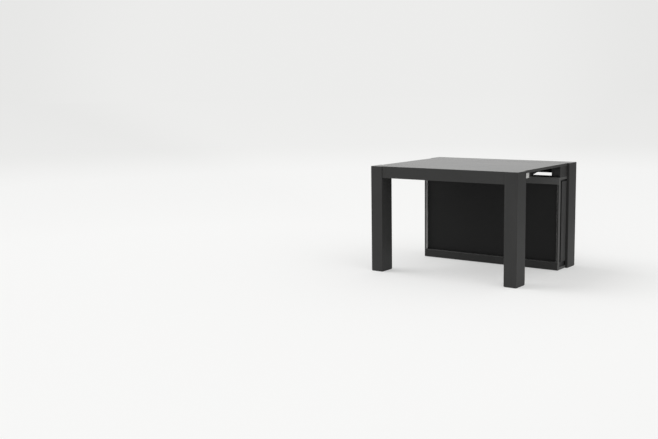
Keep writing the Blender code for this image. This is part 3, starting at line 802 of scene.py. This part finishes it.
def make_screws():
    """Makes the screws of both units, and those that hold the rack to its hangers."""
    tree = make_screw_tree()
    for word, along in ENDS.items():
        # Outside that screw's box its finish shows as rubbed all over
        material = make_finish("hanger_screw_left_1")
        spots = unit_screw_spots(word, along)
        screws = grow("fixing_screws_" + word, tree, spots, SCREW_SIZES, material)
        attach(screws, word + "_unit")
    for name in nodes:
        if name.startswith("hanger_screw_"):
            low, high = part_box(name)
            seat = ((low.x + high.x) / 2, (low.y + high.y) / 2, high.z - SCREW_SIZES["Head height"])
            spots = [(seat, DOWNWARD, ONLY_KIND)]
            stand_for(grow("socket_" + name, tree, spots, SCREW_SIZES, make_finish(name)), name)


def rail_plug_spots(index):
    """The ends of the hollows of the left and right sections of one stage."""
    spots = []
    for side, across in SIDES.items():
        low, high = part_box("rail_" + side + "_" + str(index))
        outer_x = high.x if across > 0 else -low.x
        middle_z = (low.z + high.z) / 2
        for y, toward in ((low.y + PLUG_SET_BACK, -1), (high.y - PLUG_SET_BACK, 1)):
            axis = (0, toward, 0)
            x = across * (outer_x - WIDE_HOLLOW_MIDDLE[0])
            spots.append(((x, y, middle_z + WIDE_HOLLOW_MIDDLE[1]), axis, WIDE))
            spots.append(((x, y, middle_z - WIDE_HOLLOW_MIDDLE[1]), axis, WIDE))
            spots.append(((across * (outer_x - NARROW_HOLLOW_MIDDLE), y, middle_z), axis, NARROW))
    return spots


def make_rail_plugs(tree):
    """Makes the end plugs of the rails, one mesh for each body."""
    for index in range(RAIL_SECTIONS):
        rail = "rail_left_" + str(index)
        material = make_finish(rail, "black_plastic")
        plugs = grow("rail_plugs_" + str(index), tree, rail_plug_spots(index), PLUG_SIZES, material)
        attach(plugs, nodes[rail]["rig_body"])


def make_hanger_plugs(tree):
    """Makes the plug in the open front end of each hanger."""
    wall = HANGER_WALL + PLUG_CLEARANCE
    for side in SIDES:
        hanger = "rack_hanger_" + side
        low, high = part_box(hanger)
        middle = (low + high) / 2
        opening = {"Wide width": high.x - low.x - 2 * wall, "Wide height": high.z - low.z - 2 * wall}
        sizes = {**PLUG_SIZES, **HANGER_PLUG_FORM, **opening}
        spots = [((middle.x, low.y + PLUG_SET_BACK, middle.z), FORWARD, WIDE)]
        plug = grow("hanger_plug_" + side, tree, spots, sizes, make_finish(hanger, "black_plastic"))
        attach(plug, nodes[hanger]["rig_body"])


def make_plugs():
    """Makes the plugs of the rails and of the hangers from one tree."""
    tree = make_plug_tree()
    make_rail_plugs(tree)
    make_hanger_plugs(tree)


def seen_rays(tree):
    """One for the rays of the camera, of gloss and of glass, and none for those that carry light."""
    rays = add(tree, "ShaderNodeLightPath").outputs
    seen = maths(tree, "MAXIMUM", rays["Is Camera Ray"], rays["Is Glossy Ray"])
    return maths(tree, "MAXIMUM", seen, rays["Is Transmission Ray"])


def unseen_share(tree, value, low, high, share):
    """A share that falls from one to its end, but stays one for the camera's own rays."""
    camera = add(tree, "ShaderNodeLightPath").outputs["Is Camera Ray"]
    return maths(tree, "MAXIMUM", spread(tree, value, low, high, 1.0, share), camera)


def view_share(tree, direction):
    """How bright the backdrop is in a direction: one in the middle of the view, less at its sides."""
    unit = add(tree, "ShaderNodeVectorMath", {"operation": "NORMALIZE"}, {0: direction})
    facing = add(tree, "ShaderNodeVectorMath", {"operation": "DOT_PRODUCT"},
                 {0: unit.outputs["Vector"], 1: BACKDROP_MIDDLE}).outputs["Value"]
    return spread(tree, facing, VIEW_EDGE_COSINE, VIEW_MIDDLE_COSINE, VIEW_EDGE_SHARE, 1.0)


def between(tree, factor, first, second):
    """A value between two others."""
    inputs = {"Value": factor, "To Min": first, "To Max": second}
    return add(tree, "ShaderNodeMapRange", None, inputs).outputs["Result"]


def floor_level(tree, place):
    """How strongly the floor glows: most around its bright place, and like the backdrop far off."""
    away = add(tree, "ShaderNodeVectorMath", {"operation": "DISTANCE"},
               {0: place, 1: BRIGHT_FLOOR_CENTRE}).outputs["Value"]
    beyond = maths(tree, "MAXIMUM", maths(tree, "SUBTRACT", away, BRIGHT_FLOOR_RADIUS), 0.0)
    nearness = maths(tree, "DIVIDE", BRIGHT_FLOOR_FADE, maths(tree, "ADD", beyond, BRIGHT_FLOOR_FADE))
    far_level = maths(tree, "MULTIPLY", view_share(tree, place), BACKDROP_LEVEL)
    return between(tree, nearness, far_level, FLOOR_LEVEL)


def floor_material():
    """A matt floor with a glow that camera and gloss see near the object, and all rays far off."""
    material, tree, shader, place = start_material("studio_floor")
    x, y, z = add(tree, "ShaderNodeSeparateXYZ", None, {0: place}).outputs
    slanted = maths(tree, "ADD", x, maths(tree, "MULTIPLY", y, DARK_SIDE_SLOPE))
    share = unseen_share(tree, slanted, DARK_SIDE_NEAR, DARK_SIDE_FAR, DARK_SIDE_SHARE)
    colour = add(tree, "ShaderNodeVectorMath", {"operation": "SCALE"}, {0: FLOOR_COLOUR, "Scale": share})
    feed(tree, shader.inputs["Base Color"], colour.outputs[0])
    shader.inputs["Roughness"].default_value = FLOOR_ROUGHNESS
    shader.inputs["Specular IOR Level"].default_value = 0.0
    strength = maths(tree, "MULTIPLY", floor_level(tree, place), share)
    glow = add(tree, "ShaderNodeEmission", None, {"Color": BACKDROP_COLOUR, "Strength": strength})
    away = add(tree, "ShaderNodeVectorMath", {"operation": "LENGTH"}, {0: place}).outputs["Value"]
    far = spread(tree, away, FLOOR_FADE_START, FLOOR_FADE_END)
    washed = maths(tree, "MAXIMUM", far, maths(tree, "MULTIPLY", seen_rays(tree), FLOOR_WASH))
    mixed = add(tree, "ShaderNodeMixShader", None, {0: washed, 1: shader.outputs[0], 2: glow.outputs[0]})
    feed(tree, tree.nodes["Material Output"].inputs["Surface"], mixed.outputs[0])
    return material


def make_floor():
    """A pale floor that turns into the backdrop far away."""
    mesh = bpy.data.meshes.new("floor")
    bm = bmesh.new()
    bmesh.ops.create_circle(bm, cap_ends=True, radius=FLOOR_RADIUS, segments=FLOOR_SIDES)
    bmesh.ops.translate(bm, verts=bm.verts, vec=(0, 0, -FLOOR_GAP))
    bm.to_mesh(mesh)
    bm.free()
    mesh.materials.append(floor_material())
    new_piece("floor", mesh)


def make_world():
    """A pale, even surround, whose own light is a little weaker than it looks."""
    world = bpy.data.worlds.new("studio")
    bpy.context.scene.world = world
    world.use_nodes = True
    tree = world.node_tree
    direction = add(tree, "ShaderNodeTexCoord").outputs["Generated"]
    seen = maths(tree, "MULTIPLY", view_share(tree, direction), BACKDROP_LEVEL)
    back = tree.nodes["Background"]
    back.inputs["Color"].default_value = BACKDROP_COLOUR
    feed(tree, back.inputs["Strength"], between(tree, seen_rays(tree), SKY_LEVEL, seen))


def make_lamps():
    """Makes the wide, even lamps, which light the object but don't show in its gloss."""
    for name, place, strength, angle in LAMPS:
        data = bpy.data.lights.new(name, "SUN")
        data.energy = strength
        data.angle = angle
        lamp = bpy.data.objects.new(name, data)
        bpy.context.scene.collection.objects.link(lamp)
        lamp.location = place
        lamp.visible_glossy = False
        lamp.rotation_euler = (-Vector(place)).to_track_quat("-Z", "Y").to_euler()


def make_camera():
    """The camera that the photograph was taken from."""
    data = bpy.data.cameras.new("camera")
    data.sensor_width = SENSOR_WIDTH
    data.lens = FOCAL_PIXELS / IMAGE_WIDTH * SENSOR_WIDTH
    camera = bpy.data.objects.new("camera", data)
    bpy.context.scene.collection.objects.link(camera)
    turn = (
        Matrix.Rotation(CAMERA_YAW, 4, "Z")
        @ Matrix.Rotation(math.pi / 2 + CAMERA_PITCH, 4, "X")
        @ Matrix.Rotation(CAMERA_ROLL, 4, "Z")
    )
    camera.matrix_world = Matrix.Translation(CAMERA_PLACE) @ turn
    bpy.context.scene.camera = camera


bpy.context.scene.view_settings.view_transform = "Standard"
dress_nodes()
make_pieces()
make_screws()
make_plugs()
make_floor()
make_world()
make_lamps()
make_camera()
